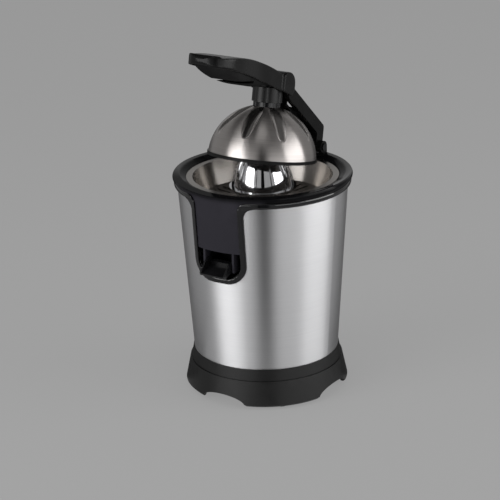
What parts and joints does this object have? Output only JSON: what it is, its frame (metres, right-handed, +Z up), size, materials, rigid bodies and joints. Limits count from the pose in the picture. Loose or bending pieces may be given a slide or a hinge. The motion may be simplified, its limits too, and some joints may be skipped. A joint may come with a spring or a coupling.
{
  "type": "electric citrus juicer",
  "caption": "Upright electric citrus juicer: a tapered brushed steel body with black trim, a fluted press dome on a hinged lever over a ribbed reamer, and a front spout.",
  "frame": {"origin": "on the resting surface, on the axis of the body and the reamer", "axes": "+Z up along the reamer's axis; -Y to the front, where the spout is; +X to the right seen from the front"},
  "size_m": [0.19, 0.2007, 0.3817],
  "materials": {
    "body_steel": "brushed round the body",
    "dome_steel": "brushed round the axis",
    "strainer_steel": "satin",
    "reamer_chrome": "polished",
    "trim_black": "moulded, glossy",
    "base_black": "moulded, satin",
    "lever_black": "moulded, satin",
    "panel_slate": "moulded, satin",
    "dome_edge_black": "moulded",
    "spout_black": "moulded",
    "rubber_black": "matt",
    "inner_grey": "moulded",
    "nylon": "moulded nylon",
    "shaft_steel": "turned",
    "zinc_steel": "zinc plated",
    "bush_bronze": "sintered",
    "motor_iron": "laminated",
    "copper": "turned copper"
  },
  "bodies": {
    "body": {"body_shell": "body_steel", "rim_trim": "trim_black", "spout_pocket": "trim_black", "base_skirt": "base_black", "rubber_feet": "rubber_black", "base_plate": "base_black", "base_screws": "zinc_steel", "cord_gland": "rubber_black", "chassis": "inner_grey", "motor_cover": "inner_grey", "lower_bush": "bush_bronze", "upper_bush": "bush_bronze", "shaft_seal": "rubber_black", "return_spring": "shaft_steel", "start_switch": "inner_grey", "idler_axle": "shaft_steel", "motor_can": "zinc_steel", "motor_end": "inner_grey", "motor_bush": "bush_bronze", "motor_field": "motor_iron", "juice_collector": "panel_slate", "spout_pin": "shaft_steel", "strainer": "strainer_steel", "hinge_bracket": "lever_black", "hinge_pin": "shaft_steel"},
    "thrust": {"thrust_cup": "nylon"},
    "drive": {"drive_shaft": "shaft_steel", "output_gear": "nylon", "cone_base": "base_black", "reamer_cone": "reamer_chrome"},
    "idler": {"idler_gear": "nylon"},
    "rotor": {"motor_shaft": "shaft_steel", "motor_pinion": "shaft_steel", "motor_armature": "motor_iron", "motor_commutator": "copper"},
    "plunger": {"switch_plunger": "nylon"},
    "spout": {"spout": "spout_black"},
    "lever": {"lever_arm": "lever_black", "dome_carrier": "lever_black", "dome_neck": "trim_black", "stud_screw": "zinc_steel", "press_dome": "dome_steel", "dome_edge": "dome_edge_black", "handle_shell": "lever_black", "handle_cover": "trim_black"},
    "collar": {"dome_collar": "lever_black"}
  },
  "joints": [
    {"name": "reamer_press", "type": "slide", "parent": "body", "child": "thrust", "axis": [0, 0, 1], "range_m": [-0.0025, 0], "stiffness_N_per_m": 2000, "springref_m": 0.006, "deforming": ["return_spring"]},
    {"name": "reamer_spin", "type": "hinge", "parent": "thrust", "child": "drive", "pos_m": [0, 0, 0.15], "axis": [0, 0, 1], "continuous": true},
    {"name": "idler_spin", "type": "hinge", "parent": "body", "child": "idler", "pos_m": [0.02544, 0.02755, 0.108], "axis": [0, 0, 1], "continuous": true},
    {"name": "rotor_spin", "type": "hinge", "parent": "body", "child": "rotor", "pos_m": [0, 0.038, 0.06], "axis": [0, 0, 1], "continuous": true},
    {"name": "switch_press", "type": "slide", "parent": "body", "child": "plunger", "axis": [0, 0, 1], "range_m": [-0.0025, 0]},
    {"name": "spout_tip", "type": "hinge", "parent": "body", "child": "spout", "pos_m": [0, -0.07538, 0.156], "axis": [-1, 0, 0], "range_deg": [0, 35]},
    {"name": "lever_hinge", "type": "hinge", "parent": "body", "child": "lever", "pos_m": [0, 0.083, 0.2445], "axis": [-1, 0, 0], "range_deg": [-11.4, 73.8]},
    {"name": "collar_twist", "type": "hinge", "parent": "lever", "child": "collar", "pos_m": [0, 0.00015, 0.25355], "axis": [0, 0.1977, 0.9803], "range_deg": [0, 60]}
  ],
  "couplings": [
    {"joint": "idler_spin", "follows": "reamer_spin", "ratio": -3},
    {"joint": "rotor_spin", "follows": "reamer_spin", "ratio": 9.6923},
    {"joint": "switch_press", "follows": "reamer_press", "ratio": 1}
  ]
}
